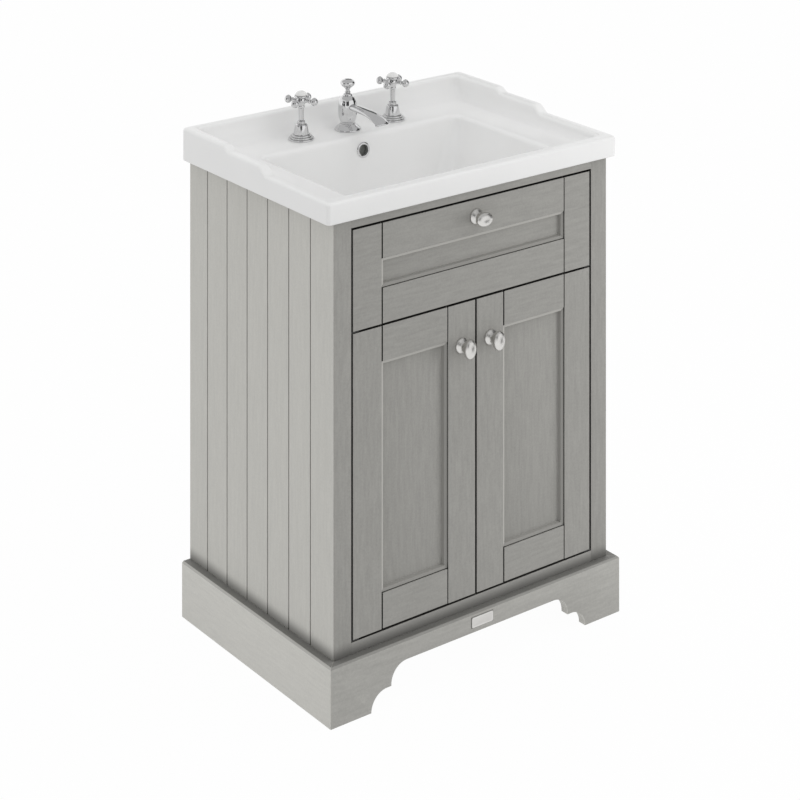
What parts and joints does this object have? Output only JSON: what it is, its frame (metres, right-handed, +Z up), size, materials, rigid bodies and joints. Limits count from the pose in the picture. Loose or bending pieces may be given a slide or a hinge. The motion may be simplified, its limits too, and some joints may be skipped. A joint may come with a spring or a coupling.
{
  "type": "bathroom vanity unit",
  "caption": "Freestanding painted bathroom vanity with panelled doors, a drawer, bracket-foot plinth, ceramic basin with stepped rim, cross-handle taps and pop-up waste.",
  "frame": {"origin": "on the floor, midway across the unit and midway between the wall plane and the front of the knobs", "axes": "+X to the right seen from the front, +Y towards the wall, +Z up"},
  "size_m": [0.62, 0.46, 0.901],
  "materials": {
    "painted_board": "warm grey satin paint over open grain",
    "inside_board": "warm grey melamine",
    "ceramic": "white glaze",
    "porcelain": "white glaze, blank",
    "chrome": "polished chrome plate",
    "satin_nickel": "satin nickel plate",
    "brass": "plain turned brass",
    "steel": "zinc plated steel",
    "rubber": "black rubber",
    "catch_plastic": "moulded plastic case"
  },
  "bodies": {
    "cabinet": {"side_panel_left": "painted_board", "side_panel_right": "painted_board", "face_stile_left": "painted_board", "face_stile_right": "painted_board", "face_rail_top": "painted_board", "face_rail_bottom": "painted_board", "base_panel": "inside_board", "back_panel": "inside_board", "wall_rail": "inside_board", "divider_rail": "inside_board", "shelf": "inside_board", "shelf_pegs": "steel", "plinth_front": "painted_board", "plinth_side_left": "painted_board", "plinth_side_right": "painted_board", "base_blocks": "inside_board", "blank_plate": "satin_nickel", "pivot_plates": "steel", "catches": "catch_plastic", "runner_packers": "inside_board", "runner_rails": "steel", "basin": "ceramic", "overflow_ring": "chrome", "waste_body": "chrome", "waste_nuts": "brass", "valve_left": "chrome", "valve_right": "chrome", "spout": "chrome", "feed_tubes": "brass", "rubber_seals": "rubber", "deck_nuts": "brass"},
    "door_left": {"door_left_stiles": "painted_board", "door_left_rails": "painted_board", "door_left_panel": "painted_board", "door_left_knob": "satin_nickel", "door_left_strike": "steel"},
    "door_right": {"door_right_stiles": "painted_board", "door_right_rails": "painted_board", "door_right_panel": "painted_board", "door_right_knob": "satin_nickel", "door_right_strike": "steel"},
    "drawer": {"drawer_stiles": "painted_board", "drawer_rails": "painted_board", "drawer_panel": "painted_board", "drawer_knob": "satin_nickel", "drawer_sides": "inside_board", "drawer_box_front": "inside_board", "drawer_inner_walls": "inside_board", "drawer_bottom": "inside_board", "drawer_runners": "steel"},
    "slider_left": {"runner_slider_left": "steel"},
    "slider_right": {"runner_slider_right": "steel"},
    "hot_handle": {"handle_left": "chrome", "button_left": "porcelain"},
    "cold_handle": {"handle_right": "chrome", "button_right": "porcelain"},
    "lift": {"lift_rod": "chrome", "lift_strap": "steel"},
    "lever": {"plug_lever": "steel"},
    "plug": {"plug": "chrome"}
  },
  "joints": [
    {"name": "door_left_hinge", "type": "hinge", "parent": "cabinet", "child": "door_left", "pos_m": [-0.2484, -0.195, 0.3645], "axis": [0, 0, -1], "range_deg": [0, 105]},
    {"name": "door_right_hinge", "type": "hinge", "parent": "cabinet", "child": "door_right", "pos_m": [0.2484, -0.195, 0.3645], "axis": [0, 0, 1], "range_deg": [0, 105]},
    {"name": "drawer_slide", "type": "slide", "parent": "cabinet", "child": "drawer", "axis": [0, -1, 0], "range_m": [0, 0.25]},
    {"name": "slider_left_slide", "type": "slide", "parent": "cabinet", "child": "slider_left", "axis": [0, -1, 0], "range_m": [0, 0.126]},
    {"name": "slider_right_slide", "type": "slide", "parent": "cabinet", "child": "slider_right", "axis": [0, -1, 0], "range_m": [0, 0.126]},
    {"name": "hot_handle_turn", "type": "hinge", "parent": "cabinet", "child": "hot_handle", "pos_m": [-0.1016, 0.166, 0.87], "axis": [0, 0, 1], "range_deg": [0, 90]},
    {"name": "cold_handle_turn", "type": "hinge", "parent": "cabinet", "child": "cold_handle", "pos_m": [0.1016, 0.166, 0.87], "axis": [0, 0, -1], "range_deg": [0, 90]},
    {"name": "lift_slide", "type": "slide", "parent": "cabinet", "child": "lift", "axis": [0, 0, 1], "range_m": [0, 0.03]},
    {"name": "lever_hinge", "type": "hinge", "parent": "cabinet", "child": "lever", "pos_m": [0, 0.013, 0.639], "axis": [1, 0, 0], "range_deg": [0, 11.3]},
    {"name": "plug_slide", "type": "slide", "parent": "cabinet", "child": "plug", "axis": [0, 0, 1], "range_m": [-0.0056, 0]}
  ],
  "couplings": [
    {"joint": "slider_left_slide", "follows": "drawer_slide", "ratio": 0.5},
    {"joint": "slider_right_slide", "follows": "drawer_slide", "ratio": 0.5},
    {"joint": "lever_hinge", "follows": "lift_slide", "rad_per_m": 6.5359},
    {"joint": "plug_slide", "follows": "lift_slide", "ratio": -0.18301}
  ]
}
